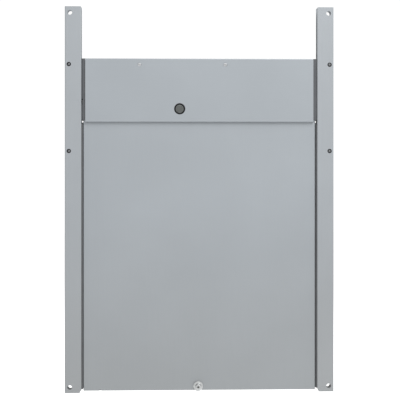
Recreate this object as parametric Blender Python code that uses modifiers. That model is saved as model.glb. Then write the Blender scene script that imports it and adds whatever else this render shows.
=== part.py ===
"""Automatic sliding pop door for a poultry house, built from separate sub-parts.

Frame: +X to the right seen from outside, +Y into the coop, +Z up.
y = 0 is the rails' rear faces, x = 0 the middle, z = 0 the rails' lower ends.
Lengths in this file are millimetres and are scaled once, where meshes are made.
"""

import math

import bmesh
import bpy
from mathutils import Matrix, Vector

MM = 0.001

# Rails: two C channels that open towards each other.
RAIL_INNER, RAIL_OUTER = 150.0, 171.0
RAIL_FRONT, RAIL_WALL, RAIL_HEIGHT = -14.0, 1.5, 490.0
HOLE_X = 165.8
WALL_HOLE_X, WALL_HOLE_Z, WALL_HOLE_R = 164.6, (7.1, 482.3), 3.0
BUSH_Z, BUSH_R = (306.6, 416.7), 2.7

# Header plate with the light sensor.
HEADER_HALF, HEADER_Z = 145.0, (343.5, 424.0)
HEADER_Y, HEADER_WALL = (-14.6, -12.0), 1.2
HEADER_SCREWS = ((-76.6, 416.3), (32.6, 416.3))
SENSOR_X, SENSOR_Z = -25.4, 360.2

# Door: a folded pan riveted to a base sheet that runs in two edge glides.
DOOR_HALF, DOOR_Z = 147.5, (2.2, 347.5)
DOOR_Y, SKIN_WALL = (-10.8, -6.5), 0.8
SHEET_Y = (-6.2, -5.0)
GLIDE_X, GLIDE_Y = (148.3, 161.5), (-10.7, -3.6)
STUD_X, STUD_Z = -1.8, 7.4

# Rear drive: chassis plate with a hat channel for the rack.
CHASSIS_Y, CHASSIS_Z = (-3.2, -1.8), (300.0, 424.0)
HAT_INNER, HAT_WALL, HAT_BACK = 10.0, 1.4, 9.8
SHAFT_R = 2.0

# Gearing.
PRESSURE = math.radians(25.0)
RACK_MODULE, RACK_TEETH = 1.5, 16
GEAR_MODULE, GEAR_TEETH, PINION_TEETH = 0.8, 48, 12
RACK_LINE_X, DRIVE_Z = 3.5, 335.0
DRIVE_X = RACK_LINE_X + RACK_MODULE * RACK_TEETH / 2
MESH_ANGLE = math.radians(45.0)
MESH_DISTANCE = GEAR_MODULE * (GEAR_TEETH + PINION_TEETH) / 2
MOTOR_X = DRIVE_X + MESH_DISTANCE * math.cos(MESH_ANGLE)
MOTOR_Z = DRIVE_Z + MESH_DISTANCE * math.sin(MESH_ANGLE)

# Housing on the back of the chassis.
COVER_HALF, COVER_Y, COVER_Z, COVER_WALL = 130.0, (-1.6, 43.0), (302.0, 422.0), 2.0
BATTERY_X, BATTERY_Z, BATTERY_HINGE = (-124.5, -17.5), (307.7, 342.3), (42.0, 341.0)
CELL_R, CELL_LENGTH = 7.1, 50.0
BUTTONS = (("open_button", 80.0), ("close_button", 96.0), ("mode_button", 112.0))
BUTTON_Z, BUTTON_R = 322.0, 4.0
COVER_SCREWS = ((-136.0, 312.0), (136.0, 312.0), (-136.0, 414.0), (136.0, 414.0))

for old in list(bpy.data.objects):
    bpy.data.objects.remove(old, do_unlink=True)

PARTS = bpy.data.collections.new("automatic_coop_door")
CUTTERS = bpy.data.collections.new("cutters")
for group in (PARTS, CUTTERS):
    bpy.context.scene.collection.children.link(group)


def finish(name, mesh, look):
    """Link a mesh as a part with its own material, or as a cutter when look is None."""
    thing = bpy.data.objects.new(name, mesh)
    if look is None:
        CUTTERS.objects.link(thing)
        thing.hide_render = True
        thing.display_type = "WIRE"
        return thing
    PARTS.objects.link(thing)
    colour, metallic, roughness = look
    material = bpy.data.materials.new(name)
    material.use_nodes = True
    shader = material.node_tree.nodes["Principled BSDF"]
    shader.inputs["Base Color"].default_value = (*colour, 1.0)
    shader.inputs["Metallic"].default_value = metallic
    shader.inputs["Roughness"].default_value = roughness
    thing.data.materials.append(material)
    return thing


def extrude(name, outline, axis, span, look=None):
    """Extrude a closed outline along X, Y or Z. Outlines are (y, z), (x, z) or (x, y)."""
    low, high = span
    place = {
        "X": lambda u, v, w: (w, u, v),
        "Y": lambda u, v, w: (u, w, v),
        "Z": lambda u, v, w: (u, v, w),
    }[axis]
    shape = bmesh.new()
    ring = [shape.verts.new(Vector(place(u, v, low)) * MM) for u, v in outline]
    face = shape.faces.new(ring)
    grown = bmesh.ops.extrude_face_region(shape, geom=[face])["geom"]
    tops = [item for item in grown if isinstance(item, bmesh.types.BMVert)]
    bmesh.ops.translate(shape, verts=tops, vec=Vector(place(0.0, 0.0, high - low)) * MM)
    bmesh.ops.recalc_face_normals(shape, faces=shape.faces)
    mesh = bpy.data.meshes.new(name)
    shape.to_mesh(mesh)
    shape.free()
    return finish(name, mesh, look)


def block(name, x, y, z, look=None, bevel=0.0, segments=2):
    """A box from its three spans, with its edges rounded when bevel is set."""
    thing = extrude(name, ((x[0], y[0]), (x[1], y[0]), (x[1], y[1]), (x[0], y[1])), "Z", z, look)
    if bevel:
        edge = thing.modifiers.new("edges", "BEVEL")
        edge.width = bevel * MM
        edge.segments = segments
        edge.limit_method = "ANGLE"
    return thing


def lathe(name, profile, centre, axis, look=None, steps=14):
    """Turn a profile of (radius, height) points; local +Z points along axis at centre."""
    closed = profile[0][0] > 0.0
    count = len(profile)
    edges = [(i, i + 1) for i in range(count - 1)] + ([(count - 1, 0)] if closed else [])
    mesh = bpy.data.meshes.new(name)
    mesh.from_pydata([(r * MM, 0.0, h * MM) for r, h in profile], edges, [])
    thing = finish(name, mesh, look)
    thing.location = Vector(centre) * MM
    thing.rotation_mode = "QUATERNION"
    thing.rotation_quaternion = Vector((0.0, 0.0, 1.0)).rotation_difference(Vector(axis))
    turn = thing.modifiers.new("turn", "SCREW")
    turn.axis = "Z"
    turn.steps = turn.render_steps = steps
    turn.use_merge_vertices = True
    turn.merge_threshold = 0.000002
    return thing


def rod(name, radius, centre, axis, length, look=None, steps=14):
    """A plain cylinder that starts at centre and runs for length along axis."""
    profile = ((0.0, length), (radius, length), (radius, 0.0), (0.0, 0.0))
    return lathe(name, profile, centre, axis, look, steps)


def set_origin(thing, point):
    """Move a part's origin to a point on its joint's axis; its shape stays where it is."""
    offset = Vector(point) * MM
    thing.data.transform(Matrix.Translation(-offset))
    thing.location = offset


def combine(thing, tool, how="DIFFERENCE"):
    """Cut a tool from a part, or join it on."""
    step = thing.modifiers.new(tool.name, "BOOLEAN")
    step.operation = how
    step.solver = "EXACT"
    step.object = tool
    return thing


def hole(thing, label, x, z, radius, y=(-30.0, 60.0), steps=16):
    """A round hole along Y."""
    name = f"{thing.name}_{label}"
    return combine(thing, rod(name, radius, (x, y[0], z), (0, 1, 0), y[1] - y[0], None, steps))


def rounded(points, radii, segments=4):
    """Round an outline's corners; a radius of 0 leaves its corner sharp."""
    result = []
    for index, (corner, radius) in enumerate(zip(points, radii)):
        if not radius:
            result.append(corner)
            continue
        here = Vector(corner)
        before = (Vector(points[index - 1]) - here).normalized()
        after = (Vector(points[(index + 1) % len(points)]) - here).normalized()
        half = before.angle(after) / 2
        start, end = here + before * radius / math.tan(half), here + after * radius / math.tan(half)
        middle = here + (before + after).normalized() * radius / math.sin(half)
        first = math.atan2(*reversed(start - middle))
        sweep = math.remainder(math.atan2(*reversed(end - middle)) - first, math.tau)
        for step in range(segments + 1):
            angle = first + sweep * step / segments
            result.append(
                (middle.x + radius * math.cos(angle), middle.y + radius * math.sin(angle))
            )
    return result


def gear_outline(module, teeth, centre, tooth_angle, backlash=0.14):
    """Involute outline with one tooth centred on tooth_angle, in the plane (x, z)."""
    pitch = module * teeth / 2
    base = pitch * math.cos(PRESSURE)
    tip, root = pitch + 0.9 * module, pitch - 1.15 * module

    def flank_angle(radius):
        roll = math.acos(min(1.0, base / radius))
        return math.tan(roll) - roll

    half_pitch_angle = (math.pi * module / 2 - backlash) / (2 * pitch)
    start = max(base, root)
    radii = [start + (tip - start) * i / 2 for i in range(3)]
    flank = [(r, half_pitch_angle + flank_angle(pitch) - flank_angle(r)) for r in radii]
    if root < base:
        flank.insert(0, (root, flank[0][1]))
    outline = []
    for tooth in range(teeth):
        turn = tooth_angle + math.tau * tooth / teeth
        for r, offset in [(r, -a) for r, a in flank] + [(r, a) for r, a in reversed(flank)]:
            outline.append(
                (centre[0] + r * math.cos(turn + offset), centre[1] + r * math.sin(turn + offset))
            )
    return outline


ALUMINIUM = ((0.42, 0.44, 0.46), 0.75, 0.42)
STEEL = ((0.55, 0.55, 0.56), 1.0, 0.35)
ZINC = ((0.50, 0.51, 0.50), 0.9, 0.5)
BLACK = ((0.018, 0.018, 0.02), 0.0, 0.5)
DARK = ((0.06, 0.062, 0.065), 0.0, 0.45)
GREY = ((0.20, 0.205, 0.21), 0.0, 0.5)
NYLON = ((0.74, 0.73, 0.69), 0.0, 0.45)
BOARD = ((0.02, 0.12, 0.05), 0.0, 0.4)


def mirrored(points, side):
    """Outline points with x on the left (-1) or right (+1) side."""
    return [(side * x, y) for x, y in points]


def make_rail(label, side):
    """C channel with wall-fixing holes, bush holes and trimmed corners."""
    inner, outer, wall = RAIL_INNER, RAIL_OUTER, RAIL_WALL
    section = rounded(
        (
            (inner, RAIL_FRONT), (outer, RAIL_FRONT), (outer, 0.0), (inner, 0.0),
            (inner, -wall), (outer - wall, -wall),
            (outer - wall, RAIL_FRONT + wall), (inner, RAIL_FRONT + wall),
        ),
        (0.85, 1.6, 1.6, 0.85, 0, 0, 0, 0),
        3,
    )
    rail = extrude(f"{label}_rail", mirrored(section, side), "Z", (0.0, RAIL_HEIGHT), ALUMINIUM)
    for number, z in enumerate(WALL_HOLE_Z):
        hole(rail, f"wall_hole_{number}", side * WALL_HOLE_X, z, WALL_HOLE_R)
    for number, z in enumerate(BUSH_Z):
        hole(rail, f"bush_hole_{number}", side * HOLE_X, z, BUSH_R + 0.1)
    low = ((inner - 1, -1), (inner + 3.2, -1), (inner - 1, 5.8))
    high = ((inner - 1, 491), (inner - 1, 488.1), (inner + 1.9, 491))
    for name, corner in (("lower", low), ("upper", high)):
        tool = extrude(f"{label}_rail_{name}_trim", mirrored(corner, side), "Y", (-20.0, 10.0))
        combine(rail, tool)


def make_rail_fixings(label, side):
    """Bushes through the channel, their drive pins and the foot that the door lands on."""
    for level, z in zip(("lower", "upper"), BUSH_Z):
        tube = (
            (2.05, 14.15), (2.5, 14.15), (BUSH_R, 13.95), (BUSH_R, 0.1),
            (1.3, 0.1), (1.3, 12.9), (2.05, 12.9),
        )
        lathe(f"{label}_{level}_bush", tube, (side * HOLE_X, 0, z), (0, -1, 0), BLACK)
        pin = (
            (0.0, 13.95), (1.2, 13.95), (1.9, 13.6), (1.9, 13.0), (1.2, 13.0),
            (1.2, 2.6), (0.8, 1.8), (0.0, 1.8),
        )
        lathe(f"{label}_{level}_pin", pin, (side * HOLE_X, 0, z), (0, -1, 0), STEEL)
    foot = sorted((side * 151.9, side * 162.0))
    block(f"{label}_foot", foot, (-12.2, -1.8), (0.0, 3.7), DARK, 0.5)


def make_bracket(label, side):
    """Strip behind the header plate that reaches into the channel."""
    section = (
        (128.0, -13.1), (148.2, -13.1), (148.2, -12.2), (168.6, -12.2), (168.6, -11.1), (128.0, -11.1),
    )
    strip = extrude(f"{label}_bracket", mirrored(section, side), "Z", (346.0, 424.0), DARK)
    under = sorted((side * 120.0, side * 145.3))
    combine(strip, block(f"{label}_bracket_step", under, (-20.0, -5.0), (421.5, 430.0)))
    hole(strip, "bush_hole", side * HOLE_X, BUSH_Z[1], BUSH_R + 0.2)
    if side < 0:
        name = f"{label}_bracket_wire_notch"
        combine(strip, block(name, (-170.0, -127.0), (-12.5, -10.0), (367.0, 373.0)))


def make_header():
    """Folded plate over the door with its screws, board and light sensor."""
    (front, back), (low, high), wall = HEADER_Y, HEADER_Z, HEADER_WALL
    section = rounded(
        (
            (front, low), (back, low), (back, low + wall), (front + wall, low + wall),
            (front + wall, high - wall), (back, high - wall), (back, high), (front, high),
        ),
        (0.9, 0, 0, 0, 0, 0, 0, 0.9),
        3,
    )
    plate = extrude("header_plate", section, "X", (-HEADER_HALF, HEADER_HALF), ALUMINIUM)
    board = block("sensor_board", (-90.0, 46.0), (-13.1, -12.2), (349.0, 421.0), BOARD)
    for number, (x, z) in enumerate(HEADER_SCREWS):
        sink = ((0.0, 0.5), (3.2, 0.5), (2.7, 0.0), (1.7, -1.0), (1.7, -2.6), (0.0, -2.6))
        tool = lathe(f"header_plate_sink_{number}", sink, (x, front, z), (0, -1, 0))
        combine(plate, tool)
        hole(board, f"screw_hole_{number}", x, z, 1.65)
        head = (
            (0.0, -0.55), (1.0, -0.55), (1.0, 0.0), (2.55, 0.0), (1.5, -1.05), (1.5, -2.9), (0.0, -2.9),
        )
        lathe(f"header_screw_{number + 1}", head, (x, front, z), (0, -1, 0), STEEL)
    hole(plate, "sensor_hole", SENSOR_X, SENSOR_Z, 7.15, steps=28)
    ring = (
        (5.3, -0.05), (5.6, 0.35), (6.7, 0.35), (7.0, 0.1), (7.0, -1.4), (5.3, -1.4),
    )
    lathe("sensor_bezel", ring, (SENSOR_X, front, SENSOR_Z), (0, -1, 0), BLACK, 28)
    cell = ((0.0, -0.25), (4.7, -0.25), (5.1, -0.5), (5.1, -1.4), (0.0, -1.4))
    lathe("light_sensor", cell, (SENSOR_X, front, SENSOR_Z), (0, -1, 0), GREY, 28)


def make_door():
    """Pan, base sheet, edge glides, rack and stop stud: all slide up together."""
    x = (-DOOR_HALF, DOOR_HALF)
    skin = block("door_skin", x, DOOR_Y, DOOR_Z, ALUMINIUM, 0.7)
    inside = (-DOOR_HALF + SKIN_WALL, DOOR_HALF - SKIN_WALL)
    depth = (DOOR_Y[0] + SKIN_WALL, 0.0)
    height = (DOOR_Z[0] + SKIN_WALL, DOOR_Z[1] - SKIN_WALL)
    combine(skin, block("door_skin_inside", inside, depth, height))
    combine(skin, block("door_skin_notch", (-127.3, -124.7), (-12.0, -8.0), (1.0, 3.4)))
    hole(skin, "stud_hole", STUD_X, STUD_Z, 2.3)
    sheet = extrude(
        "door_sheet",
        ((-160.5, 4.5), (160.5, 4.5), (160.5, 341), (142, 344), (138, 358.6), (-138, 358.6),
         (-142, 344), (-160.5, 341)),
        "Y", SHEET_Y, ALUMINIUM,
    )
    hole(sheet, "stud_hole", STUD_X, STUD_Z, 2.3)
    (inner, outer), (front, back) = GLIDE_X, GLIDE_Y
    section = (
        (inner, front), (outer, front), (outer, back), (inner, back),
        (inner, -4.7), (160.8, -4.7), (160.8, -6.5), (inner, -6.5),
    )
    for label, side in (("left", -1), ("right", 1)):
        extrude(f"{label}_glide", mirrored(section, side), "Z", (4.2, 341.0), DARK)
    stud = (
        (0.0, 3.4), (1.25, 3.4), (1.25, 8.3), (3.2, 8.3), (3.65, 7.9), (3.65, 1.3),
        (5.9, 1.3), (6.3, 0.9), (6.3, 0.15), (2.0, 0.15), (2.0, -7.8), (0.0, -7.8),
    )
    lathe("stop_stud", stud, (STUD_X, DOOR_Y[0], STUD_Z), (0, -1, 0), STEEL, 20)
    nut = [
        (STUD_X + 3.4 * math.cos(math.radians(60 * i)), STUD_Z + 3.4 * math.sin(math.radians(60 * i)))
        for i in range(6)
    ]
    hole(extrude("stud_nut", nut, "Y", (-4.9, -3.1), STEEL), "bore", STUD_X, STUD_Z, 2.06)


def make_rack():
    """Toothed bar on the back of the base sheet; its teeth face +X."""
    pitch = math.pi * RACK_MODULE
    lean = math.tan(PRESSURE)
    tip, root = RACK_LINE_X + 0.9 * RACK_MODULE, RACK_LINE_X - 1.15 * RACK_MODULE
    half = pitch / 4 - 0.07
    outline = [(-5.0, 348.0), (-5.0, 14.0)]
    first = -int((DRIVE_Z - 14.0) / pitch)
    for tooth in range(first, 2):
        z = DRIVE_Z + (tooth + 0.5) * pitch
        wide, thin = half + (RACK_LINE_X - root) * lean, half - (tip - RACK_LINE_X) * lean
        outline += [(root, z - wide), (tip, z - thin), (tip, z + thin), (root, z + wide)]
    outline.insert(2, (root, 14.0))
    outline.append((root, 348.0))
    extrude("rack", outline, "Y", (-4.7, 6.0), NYLON)


def make_chassis():
    """Back plate with its hat channel, ears in the rails and a window for the pinion."""
    (front, back), inner, outer = CHASSIS_Y, HAT_INNER, HAT_INNER + HAT_WALL
    section = (
        (-168, front), (-inner, front), (-inner, HAT_BACK - HAT_WALL), (inner, HAT_BACK - HAT_WALL),
        (inner, front), (168, front), (168, back), (outer, back), (outer, HAT_BACK),
        (-outer, HAT_BACK), (-outer, back), (-168, back),
    )
    plate = extrude("chassis", section, "Z", CHASSIS_Z, ZINC)
    for label, side in (("left", -1), ("right", 1)):
        gap = sorted((side * 143.0, side * 175.0))
        combine(plate, block(f"chassis_{label}_gap", gap, (-6.0, 1.0), (314.0, 345.0)))
        for number, z in enumerate(BUSH_Z):
            hole(plate, f"{label}_bush_hole_{number}", side * HOLE_X, z, BUSH_R + 0.2)
    combine(plate, block("chassis_window", (8.0, 13.0), (-1.0, 8.2), (319.5, 350.5)))
    hole(plate, "shaft_hole", DRIVE_X, DRIVE_Z, SHAFT_R + 0.1, (-6.0, 1.0))
    for number, (x, z) in enumerate(COVER_SCREWS):
        hole(plate, f"screw_hole_{number}", x, z, 1.6, (-6.0, 1.0))


def make_drive():
    """Gear bracket, shaft, gears, gearmotor and end switch behind the chassis."""
    section = (
        (-14.0, -1.5), (-12.5, -1.5), (-12.5, 16.2), (58.5, 16.2), (58.5, -1.5),
        (60.0, -1.5), (60.0, 17.7), (-14.0, 17.7),
    )
    bracket = extrude("gear_bracket", section, "Z", (310.0, 388.0), ZINC)
    hole(bracket, "shaft_hole", DRIVE_X, DRIVE_Z, SHAFT_R + 0.1)
    hole(bracket, "motor_hole", MOTOR_X, MOTOR_Z, 3.0)
    rod("drive_shaft", SHAFT_R, (DRIVE_X, -2.9, DRIVE_Z), (0, 1, 0), 21.6, STEEL)

    centre = (DRIVE_X, DRIVE_Z)
    wheel = extrude(
        "drive_gear", gear_outline(GEAR_MODULE, GEAR_TEETH, centre, MESH_ANGLE), "Y", (11.0, 15.0),
        NYLON,
    )
    set_origin(wheel, (DRIVE_X, 0.0, DRIVE_Z))
    small = extrude(
        "drive_gear_pinion", gear_outline(RACK_MODULE, RACK_TEETH, centre, math.pi), "Y", (0.3, 5.7)
    )
    combine(wheel, small, "UNION")
    hub = rod("drive_gear_hub", 3.6, (DRIVE_X, 5.5, DRIVE_Z), (0, 1, 0), 5.7)
    combine(wheel, hub, "UNION")
    hole(wheel, "bore", DRIVE_X, DRIVE_Z, SHAFT_R + 0.06, (-5.0, 20.0))

    phase = MESH_ANGLE + math.pi + math.pi / PINION_TEETH
    outline = gear_outline(GEAR_MODULE, PINION_TEETH, (MOTOR_X, MOTOR_Z), phase)
    pinion = extrude("motor_pinion", outline, "Y", (10.6, 15.4), STEEL)
    set_origin(pinion, (MOTOR_X, 0.0, MOTOR_Z))
    stub = rod("motor_pinion_stub", 2.0, (MOTOR_X, 15.0, MOTOR_Z), (0, 1, 0), 6.0)
    combine(pinion, stub, "UNION")

    motor = block("gearmotor", (20.0, 46.0), (18.4, 38.4), (340.0, 384.0), GREY, 1.0)
    can = ((0.0, 45.3), (4.5, 45.3), (4.5, 43.5), (9.3, 43.5), (9.8, 43.0), (9.8, 0.0), (0.0, 0.0))
    body = lathe("gearmotor_can", can, (42.3, 28.4, 361.3), (1, 0, 0), None, 20)
    combine(motor, body, "UNION")
    hole(motor, "shaft_hole", MOTOR_X, MOTOR_Z, 2.2, (10.0, 22.0))
    block("limit_switch", (-34.0, -15.0), (0.0, 7.0), (318.0, 328.0), DARK, 0.4)


def make_cover():
    """Housing shell with flanges, battery opening, button holes and a wire hole."""
    x, (low, high), wall = (-COVER_HALF, COVER_HALF), COVER_Z, COVER_WALL
    shell = block("housing_cover", x, COVER_Y, COVER_Z, GREY)
    edge = shell.modifiers.new("edges", "BEVEL")
    edge.width = 4.0 * MM
    edge.segments = 3
    edge.limit_method = "ANGLE"
    flange = block("housing_cover_flange", (-142.0, 142.0), (COVER_Y[0], 0.6), (low, high))
    combine(shell, flange, "UNION")
    front = block("housing_cover_front", x, (COVER_Y[0], 20.0), COVER_Z)
    combine(shell, front, "UNION")
    inside = block(
        "housing_cover_inside", (-COVER_HALF + wall, COVER_HALF - wall), (-5.0, COVER_Y[1] - wall),
        (low + wall, high - wall),
    )
    combine(shell, inside)
    combine(shell, block("housing_cover_rack_way", (-12.0, 12.0), (-5.0, 10.4), (290.0, 430.0)))
    opening = block("housing_cover_battery_opening", BATTERY_X, (30.0, 50.0), BATTERY_Z)
    combine(shell, opening)
    seat = rod("housing_cover_hinge_seat", 0.75, (-126.3, *BATTERY_HINGE), (1, 0, 0), 110.6, None, 12)
    combine(shell, seat)
    for name, x in BUTTONS:
        hole(shell, name, x, BUTTON_Z, BUTTON_R + 0.25, (30.0, 50.0))
    hole(shell, "lamp", 66.0, BUTTON_Z, 2.7, (30.0, 50.0))
    combine(shell, rod("housing_cover_wire_hole", 2.4, (-135.0, 6.0, 330.0), (1, 0, 0), 10.0))
    for number, (x, z) in enumerate(COVER_SCREWS):
        hole(shell, f"screw_hole_{number}", x, z, 1.6, (-5.0, 5.0))
        screw = (
            (0.0, 2.4), (1.9, 2.4), (2.8, 1.5), (2.8, 0.2), (1.45, 0.2), (1.45, -3.6), (0.0, -3.6),
        )
        lathe(f"cover_screw_{number + 1}", screw, (x, 0.6, z), (0, 1, 0), STEEL)
    ring = ((0.85, 1.6), (3.4, 1.6), (3.4, 0.3), (2.3, 0.3), (2.3, -2.3), (0.85, -2.3))
    lathe("wire_grommet", ring, (-130.0, 6.0, 330.0), (-1, 0, 0), BLACK)


def make_controls():
    """Battery door, cells, tray, circuit board, lamp lens and buttons."""
    y, z = BATTERY_HINGE
    leaf = [(y - 0.9, 308.2), (y + 0.9, 308.2)]
    leaf += [
        (y + 0.9 * math.cos(math.radians(a)), z + 0.9 * math.sin(math.radians(a)))
        for a in range(0, 181, 30)
    ]
    door = extrude("battery_door", leaf, "X", (BATTERY_X[0] + 0.4, BATTERY_X[1] - 0.4), GREY)
    set_origin(door, (0.0, y, z))
    pin = rod("battery_door_pin", 0.6, (BATTERY_X[0] - 1.4, y, z), (1, 0, 0), 109.8, None, 12)
    combine(door, pin, "UNION")
    tray = block("battery_tray", (-125.0, -17.0), (22.0, 40.4), (306.5, 342.5), BLACK)
    combine(tray, block("battery_tray_inside", (-123.5, -18.5), (24.0, 45.0), (308.5, 341.5)))
    number = 0
    for low in (-122.8, -70.6):
        for z in (316.6, 333.4):
            number += 1
            cell = (
                (0.0, CELL_LENGTH), (2.6, CELL_LENGTH), (2.6, 48.6), (6.6, 48.6), (CELL_R, 48.1),
                (CELL_R, 0.4), (6.7, 0.0), (0.0, 0.0),
            )
            lathe(f"cell_{number}", cell, (low, 32.0, z), (1, 0, 0), DARK)
    block("circuit_board", (58.0, 124.0), (32.0, 33.6), (306.0, 341.0), BOARD)
    lens = (
        (0.0, 3.2), (1.6, 2.9), (2.5, 2.0), (2.5, -0.4), (3.2, -0.4), (3.2, -1.4), (2.5, -1.4),
        (2.5, -6.0), (0.0, -6.0),
    )
    lathe("lamp_lens", lens, (66.0, 41.0, BUTTON_Z), (0, 1, 0), NYLON)
    for name, x in BUTTONS:
        cap = (
            (0.0, 3.8), (3.4, 3.8), (BUTTON_R, 3.2), (BUTTON_R, -0.3), (5.4, -0.3), (5.4, -1.6),
            (2.4, -1.6), (2.4, -5.2), (0.0, -5.2),
        )
        lathe(name, cap, (x, 41.0, BUTTON_Z), (0, 1, 0), BLACK)


def make_wire():
    """Lead from the sensor board down the left channel and into the housing."""
    path = (
        (-91.0, -11.7, 372.0), (-163.4, -11.7, 372.0), (-166.3, -9.8, 369.5), (-166.5, -7.5, 360.0),
        (-166.5, -6.5, 340.0), (-165.4, -2.9, 332.0), (-162.8, -2.55, 330.0), (-148.5, -2.55, 330.0),
        (-146.4, 1.5, 330.0), (-144.0, 5.6, 330.0), (-138.0, 6.0, 330.0), (-124.0, 6.0, 330.0),
        (-119.0, 8.0, 336.0), (-118.0, 10.0, 360.0), (-114.0, 11.0, 392.0), (-100.0, 12.0, 398.0),
        (80.0, 14.0, 398.0), (97.0, 18.0, 394.0), (100.0, 28.0, 380.0), (100.0, 32.6, 360.0),
        (100.0, 32.8, 341.4),
    )
    curve = bpy.data.curves.new("sensor_wire", "CURVE")
    curve.dimensions = "3D"
    curve.bevel_depth = 0.6 * MM
    curve.bevel_resolution = 1
    curve.use_fill_caps = True
    line = curve.splines.new("POLY")
    line.points.add(len(path) - 1)
    for point, place in zip(line.points, path):
        point.co = (*(Vector(place) * MM), 1.0)
    guide = bpy.data.objects.new("sensor_wire_guide", curve)
    CUTTERS.objects.link(guide)
    guide.hide_render = True
    bpy.context.view_layer.update()
    shape = bmesh.new()
    shape.from_mesh(bpy.data.meshes.new_from_object(guide))
    bmesh.ops.remove_doubles(shape, verts=shape.verts, dist=0.000002)
    bmesh.ops.recalc_face_normals(shape, faces=shape.faces)
    mesh = bpy.data.meshes.new("sensor_wire")
    shape.to_mesh(mesh)
    shape.free()
    bpy.data.objects.remove(guide, do_unlink=True)
    finish("sensor_wire", mesh, BLACK)


for rail_label, rail_side in (("left", -1), ("right", 1)):
    make_rail(rail_label, rail_side)
    make_rail_fixings(rail_label, rail_side)
    make_bracket(rail_label, rail_side)
make_header()
make_door()
make_rack()
make_chassis()
make_drive()
make_cover()
make_controls()
make_wire()
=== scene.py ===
"""Looks for the automatic coop door: materials, fine front hardware, light and camera."""

import math

import bmesh
import bpy
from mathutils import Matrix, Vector


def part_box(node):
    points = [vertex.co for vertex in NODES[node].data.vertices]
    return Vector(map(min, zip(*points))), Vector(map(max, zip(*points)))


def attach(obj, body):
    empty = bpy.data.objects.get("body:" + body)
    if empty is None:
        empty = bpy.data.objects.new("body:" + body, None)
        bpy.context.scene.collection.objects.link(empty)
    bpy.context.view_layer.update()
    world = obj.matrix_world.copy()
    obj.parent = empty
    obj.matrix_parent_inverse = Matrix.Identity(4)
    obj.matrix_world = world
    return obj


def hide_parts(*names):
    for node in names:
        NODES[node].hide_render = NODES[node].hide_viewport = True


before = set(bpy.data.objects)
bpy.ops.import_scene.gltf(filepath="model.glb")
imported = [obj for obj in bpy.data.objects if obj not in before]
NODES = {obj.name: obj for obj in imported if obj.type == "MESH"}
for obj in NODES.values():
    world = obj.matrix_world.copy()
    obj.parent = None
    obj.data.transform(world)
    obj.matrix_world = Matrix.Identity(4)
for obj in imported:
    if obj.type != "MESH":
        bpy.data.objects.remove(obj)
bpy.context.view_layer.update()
MM = 0.001
FORWARD, REAR = (0, -1, 0), (0, 1, 0)

# Painted shade on the coated metal, a warm grey darkening towards the bottom: full at the first
# height and gone at the second.
LOW_SHADE, LOW_SHADE_FULL_Z, LOW_SHADE_CLEAR_Z = (0.86, 0.835, 0.80), -0.02, 0.28
GRAIN_STRETCH = 0.04

# The housing shell's half width and the height of the motor's can, which no node's box gives.
HOUSING_HALF, MOTOR_CAN_Z = 0.130, 0.3613

# Stage, and the camera's view. FACE_Y is the rails' front face, where the view is VIEW_WIDTH wide.
FLOOR_SIZE, FLOOR_Z = 14.0, -0.25
VIEW_WIDTH, DISTANCE, CAMERA_Z, MIDDLE_Z = 0.508, 1.50, 0.30, 0.2444
CAMERA_X, SHIFT_X, FACE_Y, SENSOR_WIDTH = -0.050, 0.0008, -0.014, 36.0


# ---------------------------------------------------------------- materials

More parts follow.
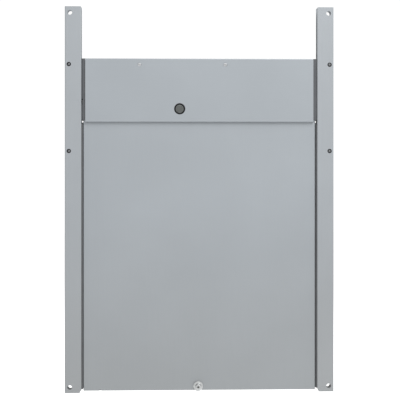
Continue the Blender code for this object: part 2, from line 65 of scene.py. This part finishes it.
class Look:
    """A node material whose colour, roughness and bump vary over the surface."""

    def __init__(self, name, colour, rough, metallic=0.0, **sockets):
        self.material = bpy.data.materials.new(name)
        self.material.use_nodes = True
        self.tree = self.material.node_tree
        self.shader = self.tree.nodes["Principled BSDF"]
        self.shader.inputs["Base Color"].default_value = (*colour, 1.0)
        self.shader.inputs["Roughness"].default_value = rough
        self.shader.inputs["Metallic"].default_value = metallic
        for socket, value in sockets.items():
            self.shader.inputs[socket.replace("_", " ")].default_value = value
        self.colour, self.rough = colour, rough
        self.coords = self.tree.nodes.new("ShaderNodeTexCoord")
        self.height = None

    def link(self, source, target):
        self.tree.links.new(source, target)

    def noise(self, scale, stretch=(1.0, 1.0, 1.0), detail=3.0):
        """Noise in object space, in cycles per metre, stretched for a grain."""
        mapping = self.tree.nodes.new("ShaderNodeMapping")
        mapping.inputs["Scale"].default_value = stretch
        self.link(self.coords.outputs["Object"], mapping.inputs["Vector"])
        node = self.tree.nodes.new("ShaderNodeTexNoise")
        node.inputs["Scale"].default_value = scale
        node.inputs["Detail"].default_value = detail
        self.link(mapping.outputs["Vector"], node.inputs["Vector"])
        return node.outputs["Fac"]

    def ramp(self, source, low, high, begin=0.3, end=0.7):
        """Map a value from the range begin to end onto the range low to high."""
        node = self.tree.nodes.new("ShaderNodeMapRange")
        node.inputs["From Min"].default_value = begin
        node.inputs["From Max"].default_value = end
        node.inputs["To Min"].default_value = low
        node.inputs["To Max"].default_value = high
        self.link(source, node.inputs["Value"])
        return node.outputs["Result"]

    def tint(self, source, dark, light):
        """Vary the base colour between two factors of itself."""
        node = self.tree.nodes.new("ShaderNodeValToRGB")
        node.color_ramp.elements[0].position = 0.3
        node.color_ramp.elements[1].position = 0.7
        for element, factor in zip(node.color_ramp.elements, (dark, light)):
            element.color = (*(c * factor for c in self.colour), 1.0)
        self.link(source, node.inputs["Fac"])
        self.link(node.outputs["Color"], self.shader.inputs["Base Color"])

    def paint_low_shade(self, shade_colour, full, clear):
        """Painted shade, darker towards the bottom of a surface, from height full up to height
        clear.
        """
        split = self.tree.nodes.new("ShaderNodeSeparateXYZ")
        self.link(self.coords.outputs["Object"], split.inputs["Vector"])
        # Painted shade: a mottled height that sets where the darkening towards the bottom fades
        # out.
        shade_z = self.tree.nodes.new("ShaderNodeMath")
        shade_z.operation = "MULTIPLY_ADD"
        shade_z.inputs[1].default_value = 0.08
        self.link(self.noise(14.0), shade_z.inputs[0])
        self.link(split.outputs["Z"], shade_z.inputs[2])
        mix = self.tree.nodes.new("ShaderNodeMix")
        mix.data_type, mix.blend_type = "RGBA", "MULTIPLY"
        mix.inputs["B"].default_value = (*shade_colour, 1.0)
        self.link(self.ramp(shade_z.outputs["Value"], 1.0, 0.0, full, clear), mix.inputs["Factor"])
        target = self.shader.inputs["Base Color"]
        self.link(target.links[0].from_socket, mix.inputs["A"])
        self.link(mix.outputs["Result"], target)

    def roughen(self, source, spread):
        """Vary the roughness by spread to either side of its base value."""
        result = self.ramp(source, self.rough - spread, self.rough + spread)
        self.link(result, self.shader.inputs["Roughness"])

    def bump(self, source, depth):
        """A height in metres; several bumps stack."""
        node = self.tree.nodes.new("ShaderNodeBump")
        node.inputs["Distance"].default_value = depth
        node.inputs["Strength"].default_value = 1.0
        self.link(source, node.inputs["Height"])
        if self.height:
            self.link(self.height, node.inputs["Normal"])
        self.height = node.outputs["Normal"]
        self.link(self.height, self.shader.inputs["Normal"])


def coated_metal(name, colour, rough, metallic, grain_axis=2):
    """Smooth coated aluminium: a faint mottle, painted shade darker towards the bottom, a fine
    grain and slow waviness.
    """
    look = Look(name, colour, rough, metallic)
    stretch = [1.0, 1.0, 1.0]
    stretch[grain_axis] = GRAIN_STRETCH
    look.tint(look.noise(9.0), 0.965, 1.03)
    # Painted shade: the base colour darkens towards the bottom.
    look.paint_low_shade(LOW_SHADE, LOW_SHADE_FULL_Z, LOW_SHADE_CLEAR_Z)
    look.roughen(look.noise(900.0, stretch), 0.05)
    look.bump(look.noise(1500.0), 0.000012)
    look.bump(look.noise(6.0, detail=1.0), 0.0006)
    return look.material


def machined(name, colour, rough=0.3):
    """Bare metal with a fine tooled surface."""
    look = Look(name, colour, rough, 1.0)
    look.tint(look.noise(300.0), 0.88, 1.06)
    look.roughen(look.noise(2500.0), 0.07)
    look.bump(look.noise(3000.0), 0.00001)
    return look.material


def moulded(name, colour, rough=0.5, texture=0.00004, **sockets):
    """Moulded plastic, rubber or a board; texture is the depth of its surface grain in metres."""
    look = Look(name, colour, rough, 0.0, **sockets)
    look.tint(look.noise(25.0), 0.93, 1.06)
    look.roughen(look.noise(400.0), 0.05)
    look.bump(look.noise(1800.0), texture)
    return look.material


DOOR_METAL = coated_metal("door_coat", (0.262, 0.283, 0.302), 0.46, 0.35)
HEADER_METAL = coated_metal("header_coat", (0.258, 0.279, 0.298), 0.46, 0.35, 0)
RAIL_METAL = coated_metal("rail_coat", (0.270, 0.288, 0.305), 0.44, 0.4)
STUD_METAL = machined("stud_metal", (0.44, 0.45, 0.45), 0.42)
PIN_METAL = machined("pin_metal", (0.16, 0.165, 0.17), 0.45)
SCREW_METAL = machined("screw_metal", (0.46, 0.47, 0.48), 0.42)
ZINC = machined("zinc_plate", (0.52, 0.53, 0.53), 0.45)
STEEL = machined("steel", (0.56, 0.56, 0.57), 0.3)
BLACK = moulded("black_nylon", (0.008, 0.008, 0.009), 0.55, Specular_IOR_Level=0.2)
GLIDE = moulded("glide_plastic", (0.085, 0.088, 0.092), 0.5)
BRACKET = moulded("bracket_plastic", (0.058, 0.062, 0.068), 0.5)
HOUSING = moulded("housing_plastic", (0.17, 0.178, 0.188), 0.48, 0.00008)
LID = moulded("lid_plastic", (0.15, 0.158, 0.168), 0.5, 0.00008)
NATURAL = moulded("natural_acetal", (0.75, 0.74, 0.70), 0.42)
CELL_FACE = moulded("light_cell_face", (0.085, 0.093, 0.090), 0.35)
TRACK = moulded("light_cell_track", (0.045, 0.047, 0.044), 0.4)
BUTTON = moulded("button_rubber", (0.035, 0.036, 0.04), 0.6)
MARK = moulded("button_mark", (0.75, 0.75, 0.75), 0.5)
LENS = moulded("lamp_lens", (0.10, 0.45, 0.16), 0.15)
BOARD = moulded("circuit_board", (0.02, 0.13, 0.05), 0.35)
CHIP = moulded("chip_black", (0.02, 0.02, 0.022), 0.4)
WRAP = moulded("cell_wrap", (0.05, 0.09, 0.16), 0.25, 0.00001)
MOTOR = machined("motor_can", (0.45, 0.45, 0.44), 0.4)

MATERIALS = {
    RAIL_METAL: ("left_rail", "right_rail"),
    HEADER_METAL: ("header_plate",),
    DOOR_METAL: ("door_skin", "door_sheet"),
    GLIDE: ("left_glide", "right_glide", "left_foot", "right_foot"),
    BRACKET: ("left_bracket", "right_bracket"),
    ZINC: ("chassis", "gear_bracket", "stud_nut"),
    STEEL: ("drive_shaft", "motor_pinion"),
    HOUSING: ("housing_cover",),
    LID: ("battery_door",),
    NATURAL: ("rack", "drive_gear"),
    BLACK: ("battery_tray", "limit_switch", "sensor_wire", "wire_grommet"),
    BOARD: ("sensor_board", "circuit_board"),
    MOTOR: ("gearmotor",),
    WRAP: ("cell_1", "cell_2", "cell_3", "cell_4"),
}
for material, names in MATERIALS.items():
    for name in names:
        NODES[name].data.materials.clear()
        NODES[name].data.materials.append(material)


# ------------------------------------------------------------------- pieces

def piece(name, shape, material, body, smooth=35.0):
    """Turn a bmesh into a piece that rides on a body; edges sharper than smooth stay crisp."""
    bmesh.ops.recalc_face_normals(shape, faces=shape.faces)
    for face in shape.faces:
        face.smooth = True
    for edge in shape.edges:
        edge.smooth = edge.calc_face_angle(0.0) < math.radians(smooth)
    mesh = bpy.data.meshes.new(name)
    shape.to_mesh(mesh)
    shape.free()
    mesh.materials.append(material)
    thing = bpy.data.objects.new(name, mesh)
    bpy.context.scene.collection.objects.link(thing)
    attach(thing, body)
    return thing


def turned(profile, centre, axis, steps=64, shape=None):
    """Revolve a profile of (radius, height) in mm; local +Z points along axis at centre."""
    shape = shape or bmesh.new()
    turn = Vector((0, 0, 1)).rotation_difference(Vector(axis))
    rings = []
    for radius, height in profile:
        if radius == 0.0:
            rings.append([shape.verts.new(centre + turn @ Vector((0, 0, height * MM)))])
            continue
        ring = []
        for step in range(steps):
            angle = math.tau * step / steps
            spoke = Vector((radius * math.cos(angle), radius * math.sin(angle), height)) * MM
            ring.append(shape.verts.new(centre + turn @ spoke))
        rings.append(ring)
    pairs = list(zip(rings, rings[1:]))
    if profile[0][0] > 0.0:
        pairs.append((rings[-1], rings[0]))
    for first, second in pairs:
        for step in range(steps):
            after = (step + 1) % steps
            if len(first) == 1:
                shape.faces.new((first[0], second[after], second[step]))
            elif len(second) == 1:
                shape.faces.new((first[step], first[after], second[0]))
            else:
                shape.faces.new((first[step], first[after], second[after], second[step]))
    return shape


def slab(shape, low, high, bevel=0.0):
    """Add a box between two corners, in metres, with its edges rounded."""
    made = bmesh.ops.create_cube(shape, size=1.0)["verts"]
    size, middle = high - low, (high + low) / 2
    for vert in made:
        vert.co = Vector(a * b for a, b in zip(vert.co, size)) + middle
    if bevel:
        edges = list({edge for vert in made for edge in vert.link_edges})
        bmesh.ops.bevel(shape, geom=edges, offset=bevel, segments=3, profile=0.5, affect="EDGES")
    return shape


def carve(thing, tool):
    """Cut a bmesh tool out of a piece and keep the result as the piece's mesh."""
    mesh = bpy.data.meshes.new("tool")
    bmesh.ops.recalc_face_normals(tool, faces=tool.faces)
    tool.to_mesh(mesh)
    tool.free()
    cutter = bpy.data.objects.new("tool", mesh)
    bpy.context.scene.collection.objects.link(cutter)
    cut = thing.modifiers.new("cut", "BOOLEAN")
    cut.solver = "EXACT"
    cut.object = cutter
    cut.use_self = True
    bpy.context.view_layer.update()
    evaluated = thing.evaluated_get(bpy.context.evaluated_depsgraph_get())
    result = bpy.data.meshes.new_from_object(evaluated)
    thing.modifiers.clear()
    thing.data = result
    bpy.data.objects.remove(cutter)


def front(node):
    """The middle of a node's front face, where y is lowest."""
    low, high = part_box(node)
    return Vector(((low.x + high.x) / 2, low.y, (low.z + high.z) / 2))


def back(node):
    """The middle of a node's rear face, where y is highest."""
    low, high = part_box(node)
    return Vector(((low.x + high.x) / 2, high.y, (low.z + high.z) / 2))


def stand_in(node):
    """Hide a CAD node that a piece stands in for."""
    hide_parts(node)


def cross_recess(centre, axis_y, width, thickness, depth=0.0011, above=0.002):
    """Tool for a cross-shaped driver recess; axis_y is +1 for a head that faces the rear."""
    tool = bmesh.new()
    y = sorted((centre.y + axis_y * above, centre.y - axis_y * depth))
    for half_x, half_z in ((width / 2, thickness / 2), (thickness / 2, width / 2)):
        low = Vector((centre.x - half_x, y[0], centre.z - half_z))
        high = Vector((centre.x + half_x, y[1], centre.z + half_z))
        slab(tool, low, high)
    return tool


def make_fixings():
    """Bush and drive pin in each rail hole."""
    for side in ("left", "right"):
        for level in ("lower", "upper"):
            node = f"{side}_{level}_bush"
            centre = front(node)
            ring = (
                (2.0, -0.12), (2.12, 0.0), (2.45, 0.0), (2.62, -0.05), (2.7, -0.2), (2.7, -14.0),
                (1.3, -14.0), (1.3, -1.3), (2.0, -1.3),
            )
            bush = piece(f"{node}_ring", turned(ring, centre, FORWARD), BLACK, "frame")
            stand_in(node)
            node = f"{side}_{level}_pin"
            head = (
                (0.0, -0.35), (0.7, -0.37), (1.2, -0.45), (1.6, -0.6), (1.8, -0.8), (1.85, -1.1),
                (1.2, -1.15), (1.2, -12.0), (0.0, -12.2),
            )
            pin = piece(f"{node}_head", turned(head, centre, FORWARD), PIN_METAL, "frame")
            stand_in(node)


def make_header_screws():
    """Flush countersunk screws, set in from the header plate's face."""
    for number in (1, 2):
        node = f"header_screw_{number}"
        centre = Vector((front(node).x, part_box("header_plate")[0].y, front(node).z))
        head = (
            (0.0, -0.12), (1.8, -0.14), (2.1, -0.22), (2.25, -0.4), (1.5, -1.25), (1.5, -2.8),
            (0.0, -2.9),
        )
        screw = piece(f"{node}_head", turned(head, centre, FORWARD), SCREW_METAL, "frame")
        carve(screw, cross_recess(centre, -1, width=0.0027, thickness=0.00075))
        stand_in(node)


def make_sensor():
    """Light cell with its serpentine track, in a black bezel."""
    centre = front("sensor_bezel")
    ring = (
        (5.25, -0.5), (5.4, -0.2), (5.65, -0.04), (6.0, 0.0), (6.5, -0.03), (6.85, -0.16),
        (7.0, -0.4), (7.0, -1.7), (5.25, -1.7),
    )
    bezel = piece("sensor_bezel_ring", turned(ring, centre, FORWARD, 96), BLACK, "frame")
    stand_in("sensor_bezel")
    face = ((0.0, -0.62), (4.6, -0.62), (4.95, -0.7), (5.1, -0.9), (5.1, -1.7), (0.0, -1.7))
    cell = piece("light_sensor_cell", turned(face, centre, FORWARD, 96), CELL_FACE, "frame")
    stand_in("light_sensor")
    track = bmesh.new()
    rows, pitch, half, radius = 7, 0.00105, 0.00024, 0.0042
    y = (centre.y + 0.00050, centre.y + 0.00064)
    for row in range(rows):
        z = centre.z + (row - (rows - 1) / 2) * pitch
        reach = math.sqrt(radius**2 - (z - centre.z) ** 2)
        ends = (centre.x - reach, centre.x + reach)
        slab(track, Vector((ends[0], y[0], z - half)), Vector((ends[1], y[1], z + half)))
        if row + 1 < rows:
            upper = math.sqrt(radius**2 - (z + pitch - centre.z) ** 2)
            edge = centre.x + (1 if row % 2 else -1) * min(reach, upper)
            low = Vector((edge - half * 1.2, y[0] + 0.00001, z))
            slab(track, low, Vector((edge + half * 1.2, y[1], z + pitch)))
    piece("light_sensor_track", track, TRACK, "frame")


def make_stud():
    """Flange disc and boss at the bottom of the door."""
    low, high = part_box("stop_stud")
    centre = Vector(((low.x + high.x) / 2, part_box("door_skin")[0].y, (low.z + high.z) / 2))
    profile = (
        (0.0, 3.6), (1.2, 3.6), (1.25, 3.8), (1.25, 7.9), (1.5, 8.25), (2.9, 8.3), (3.3, 8.2),
        (3.58, 7.9), (3.65, 7.5), (3.65, 1.9), (3.8, 1.5), (4.1, 1.32), (5.8, 1.25), (6.15, 1.1),
        (6.3, 0.8), (6.3, 0.3), (6.15, 0.12), (2.0, 0.12), (2.0, -7.8), (0.0, -7.8),
    )
    stud = piece("stop_stud_turned", turned(profile, centre, FORWARD, 96), STUD_METAL, "door")
    stand_in("stop_stud")


def make_cover_screws():
    """Domed screws that hold the housing's flanges to the chassis."""
    for number in (1, 2, 3, 4):
        node = f"cover_screw_{number}"
        centre = back(node)
        head = (
            (0.0, 0.0), (1.0, -0.05), (1.9, -0.3), (2.5, -0.75), (2.8, -1.3), (2.8, -2.15),
            (1.45, -2.2), (1.45, -6.0), (0.0, -6.0),
        )
        screw = piece(f"{node}_head", turned(head, centre, REAR, 48), STEEL, "frame")
        carve(screw, cross_recess(centre, 1, width=0.0028, thickness=0.0006))
        stand_in(node)


def make_buttons():
    """Domed caps with generic raised marks: up, down and a dot."""
    for kind in ("open", "close", "mode"):
        node = f"{kind}_button"
        centre = back(node)
        cap = (
            (0.0, -0.25), (2.4, -0.3), (3.2, -0.45), (3.75, -0.85), (4.0, -1.5), (4.0, -4.1),
            (5.4, -4.1), (5.4, -5.4), (2.4, -5.4), (2.4, -9.0), (0.0, -9.0),
        )
        button = piece(f"{node}_cap", turned(cap, centre, REAR), BUTTON, node)
        stand_in(node)
        mark = bmesh.new()
        corners = 24 if kind == "mode" else 3
        start = -90 if kind == "close" else 90
        size = 0.0009 if kind == "mode" else 0.0017
        ring = [
            mark.verts.new(centre + Vector((size * math.cos(a), -0.00045, size * math.sin(a))))
            for a in (math.radians(start + 360 * i / corners) for i in range(corners))
        ]
        grown = bmesh.ops.extrude_face_region(mark, geom=[mark.faces.new(ring)])["geom"]
        tops = [item for item in grown if isinstance(item, bmesh.types.BMVert)]
        bmesh.ops.translate(mark, verts=tops, vec=(0, 0.00043, 0))
        piece(f"{node}_mark", mark, MARK, node)


def make_lamp_lens():
    """Domed lens of the status lamp."""
    centre = back("lamp_lens")
    dome = (
        (0.0, 0.0), (0.9, -0.12), (1.7, -0.5), (2.25, -1.1), (2.5, -1.9), (2.5, -3.6), (3.2, -3.6),
        (3.2, -4.6), (2.5, -4.6), (2.5, -9.2), (0.0, -9.2),
    )
    lens = piece("lamp_lens_dome", turned(dome, centre, REAR, 48), LENS, "frame")
    stand_in("lamp_lens")


def make_lid_ribs():
    """Finger ribs on the lower edge of the battery door."""
    low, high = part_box("battery_door")
    ribs = bmesh.new()
    count, pitch, first, length, size, sunk = 7, 0.0018, 0.003, 0.022, 0.0009, 0.0004
    middle = (low.x + high.x) / 2
    for index in range(count):
        z = low.z + first + index * pitch
        corner = Vector((middle - length / 2, high.y - sunk, z))
        slab(ribs, corner, corner + Vector((length, size, size)), 0.00025)
    piece("battery_door_ribs", ribs, LID, "battery_door")


def make_board_parts():
    """Four chips and their legs on the circuit board's front face.

    A chip is its place on the board (x, z), then its width, height and depth.
    """
    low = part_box("circuit_board")[0]
    parts, pads = bmesh.new(), bmesh.new()
    chips = ((0.012, 0.024, 0.009, 0.005, 0.0016), (0.034, 0.022, 0.014, 0.010, 0.0075),
             (0.052, 0.012, 0.010, 0.006, 0.006), (0.010, 0.008, 0.006, 0.004, 0.0012))
    for x, z, width, height, depth in chips:
        corner = Vector((low.x + x - width / 2, low.y - depth, low.z + z - height / 2))
        slab(parts, corner, corner + Vector((width, depth - 0.00005, height)), 0.0004)
        for leg in range(4):
            foot = Vector((corner.x + width * (leg + 0.35) / 4, low.y - 0.0007, corner.z - 0.0012))
            slab(pads, foot, foot + Vector((0.0007, 0.0006, 0.0011)), 0.0001)
    piece("circuit_board_chips", parts, CHIP, "frame")
    piece("circuit_board_legs", pads, STEEL, "frame")


def make_housing_grips():
    """Raised grip bars on the housing's ends, clear of the flange screws."""
    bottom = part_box("housing_cover")[0].z
    count, pitch, first, height = 5, 0.011, 0.035, 0.004
    y = (0.016, 0.034)
    for name, sign in (("left", -1), ("right", 1)):
        bars = bmesh.new()
        for index in range(count):
            z = bottom + first + index * pitch
            x = sorted((sign * (HOUSING_HALF - 0.0003), sign * (HOUSING_HALF + 0.0009)))
            slab(bars, Vector((x[0], y[0], z)), Vector((x[1], y[1], z + height)), 0.0004)
        piece(f"housing_{name}_grip", bars, HOUSING, "frame")


def make_motor_rims():
    """Folded rim at each end of the gearmotor's can."""
    low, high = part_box("gearmotor")
    centre = Vector((high.x - 0.0018, (low.y + high.y) / 2, MOTOR_CAN_Z))
    rims = bmesh.new()
    ring = ((9.78, 0.0), (10.0, 0.15), (10.0, 1.05), (9.78, 1.2))
    for offset in (0.0035, 0.0335):
        turned(ring, centre - Vector((offset, 0, 0)), (-1, 0, 0), 64, rims)
    piece("gearmotor_rims", rims, STEEL, "frame")


make_board_parts()
make_housing_grips()
make_motor_rims()
make_fixings()
make_header_screws()
make_sensor()
make_stud()
make_cover_screws()
make_buttons()
make_lamp_lens()
make_lid_ribs()


# --------------------------------------------------------- floor, light, camera

def make_floor():
    """A white floor below the object."""
    bpy.ops.mesh.primitive_plane_add(size=FLOOR_SIZE, location=(0, 0, FLOOR_Z))
    thing = bpy.context.object
    thing.name = "floor"
    white = Look("floor_paint", (0.97, 0.97, 0.97), 0.95)
    white.tint(white.noise(0.4), 0.99, 1.0)
    thing.data.materials.append(white.material)


make_floor()
bpy.context.scene.view_settings.view_transform = "Standard"
bpy.context.scene.view_settings.look = "None"

world = bpy.data.worlds.new("studio")
bpy.context.scene.world = world
world.use_nodes = True
world.node_tree.nodes["Background"].inputs["Color"].default_value = (1.0, 1.0, 1.0, 1.0)
world.node_tree.nodes["Background"].inputs["Strength"].default_value = 1.05


def area(name, location, target, size, power):
    """A square area light that points at a target."""
    light = bpy.data.lights.new(name, "AREA")
    light.size, light.energy = size, power
    lamp = bpy.data.objects.new(name, light)
    bpy.context.scene.collection.objects.link(lamp)
    lamp.location = location
    lamp.rotation_euler = (Vector(target) - Vector(location)).to_track_quat("-Z", "Y").to_euler()


area("key", (0.50, -0.9, 1.45), (0, 0, 0.45), 0.9, 21.5)
area("rear", (0.8, 2.2, 1.6), (0, 0, 0.3), 1.6, 18.0)

camera = bpy.data.objects.new("camera", bpy.data.cameras.new("camera"))
bpy.context.scene.collection.objects.link(camera)
camera.data.sensor_width = SENSOR_WIDTH
camera.data.lens = SENSOR_WIDTH * DISTANCE / VIEW_WIDTH
camera.data.shift_y = (MIDDLE_Z - CAMERA_Z) / VIEW_WIDTH
camera.data.shift_x = SHIFT_X
camera.location = (CAMERA_X, FACE_Y - DISTANCE, CAMERA_Z)
aim = Vector((0.0, FACE_Y, CAMERA_Z)) - camera.location
camera.rotation_euler = aim.to_track_quat("-Z", "Y").to_euler()
bpy.context.scene.camera = camera
